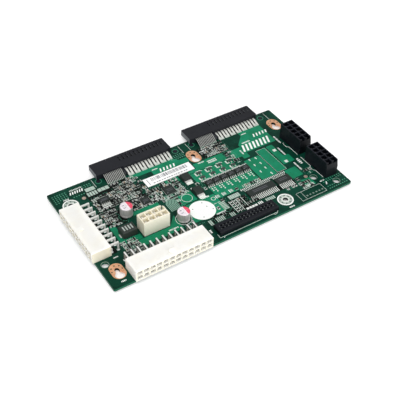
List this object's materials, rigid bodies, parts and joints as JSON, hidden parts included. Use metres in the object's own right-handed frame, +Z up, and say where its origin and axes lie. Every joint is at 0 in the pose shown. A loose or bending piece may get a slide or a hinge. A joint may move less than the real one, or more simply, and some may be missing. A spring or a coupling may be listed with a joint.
{
  "type": "power supply backplane board",
  "caption": "Green circuit board that joins plug-in supplies at its rear edge to cable headers at its front, left and right edges, held by keyholes and screw holes.",
  "frame": {"origin": "middle of the footprint, at the level of the pin tails that the board rests on", "axes": "+X along the long edge toward the upright black headers, +Y toward the supply receptacles, +Z up out of the component side"},
  "size_m": [0.1734, 0.0994, 0.0146],
  "materials": {
    "laminate": "green solder mask over glass-fibre laminate",
    "copper": "bare copper land",
    "tin": "tinned metal",
    "black_nylon": "moulded black nylon",
    "white_nylon": "moulded white nylon",
    "ivory_nylon": "moulded natural nylon",
    "aluminium": "drawn aluminium can with printed top",
    "epoxy": "moulded epoxy",
    "ceramic": "fired chip capacitor body",
    "resistor": "glazed chip resistor body",
    "paper": "white paper label",
    "silk": "white screen print"
  },
  "bodies": {
    "root": {"bus_ics": "epoxy", "capacitor_leads": "tin", "centre_header_housing": "ivory_nylon", "centre_header_pins": "tin", "circuit_board": "laminate", "driver_ics": "epoxy", "front_header_housing": "white_nylon", "front_header_pins": "tin", "inductor_terminals": "tin", "large_controller_ic": "epoxy", "left_capacitor_can": "aluminium", "left_psu_housing": "black_nylon", "left_psu_power_contacts": "tin", "left_psu_signal_contacts": "tin", "low_socket_housing": "black_nylon", "memory_ic": "epoxy", "paper_label": "paper", "power_inductor": "epoxy", "power_transistor_tabs": "tin", "power_transistors": "epoxy", "right_capacitor_can": "aluminium", "right_front_header_housing": "black_nylon", "right_front_header_pins": "tin", "right_psu_housing": "black_nylon", "right_psu_power_contacts": "tin", "right_psu_signal_contacts": "tin", "right_rear_header_housing": "black_nylon", "right_rear_header_pins": "tin", "side_header_housing": "white_nylon", "side_header_pins": "tin", "small_controller_ic": "epoxy", "small_transistors": "epoxy"}
  },
  "joints": []
}
